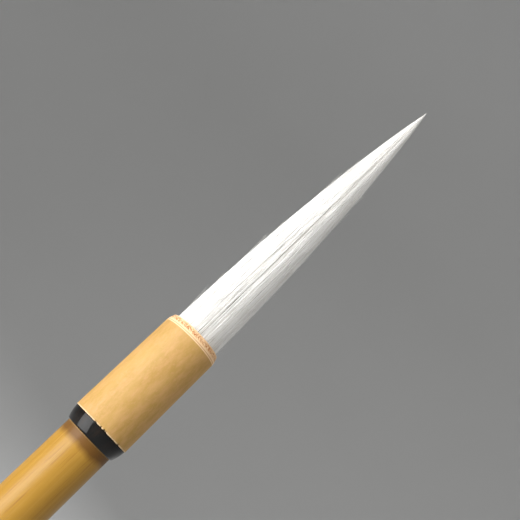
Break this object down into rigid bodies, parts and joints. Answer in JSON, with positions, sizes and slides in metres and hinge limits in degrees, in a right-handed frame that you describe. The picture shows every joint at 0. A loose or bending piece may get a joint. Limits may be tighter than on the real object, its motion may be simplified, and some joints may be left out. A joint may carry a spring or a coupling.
{
  "type": "calligraphy brush",
  "caption": "Long-tipped writing brush: white hair tuft, matte bamboo ferrule with a turned lip, black horn collar and a glossy bamboo shaft with a horn tail cap.",
  "frame": {"origin": "centre of the flat end of the tail cap, with the brush standing tail down and tip up", "axes": "+Z along the brush from the tail to the tip; +X and +Y across it, and the hair swings about pivots parallel to +Y"},
  "size_m": [0.0138, 0.0138, 0.306],
  "materials": {
    "bamboo_polished": "polished, lacquered bamboo skin",
    "bamboo_matte": "matte, scraped and sanded bamboo",
    "black_horn": "polished black horn",
    "hardwood": "plain turned wood",
    "rosin": "set rosin",
    "thread": "waxed thread",
    "core_hair": "combed white goat hair",
    "mantle_hair": "combed white goat hair"
  },
  "bodies": {
    "handle": {"shaft": "bamboo_polished", "tail_cap": "black_horn", "tail_peg": "hardwood", "collar": "black_horn", "connecting_dowel": "hardwood", "ferrule": "bamboo_matte", "root_seal": "rosin", "root_binding": "thread", "core_hair_root": "core_hair", "mantle_hair_root": "mantle_hair"},
    "tuft_waist": {"core_hair_waist": "core_hair", "mantle_hair_waist": "mantle_hair"},
    "tuft_belly": {"core_hair_belly": "core_hair", "mantle_hair_belly": "mantle_hair"},
    "tuft_tip": {"core_hair_tip": "core_hair", "mantle_hair_tip": "mantle_hair"}
  },
  "joints": [
    {"name": "waist_bend", "type": "hinge", "parent": "handle", "child": "tuft_waist", "pos_m": [0, 0, 0.2302], "axis": [0, 1, 0], "range_deg": [-20, 20], "stiffness_Nm_per_rad": 0.02},
    {"name": "belly_bend", "type": "hinge", "parent": "tuft_waist", "child": "tuft_belly", "pos_m": [0, 0, 0.254], "axis": [0, 1, 0], "range_deg": [-25, 25], "stiffness_Nm_per_rad": 0.01},
    {"name": "tip_bend", "type": "hinge", "parent": "tuft_belly", "child": "tuft_tip", "pos_m": [0, 0, 0.279], "axis": [0, 1, 0], "range_deg": [-30, 30], "stiffness_Nm_per_rad": 0.004}
  ]
}
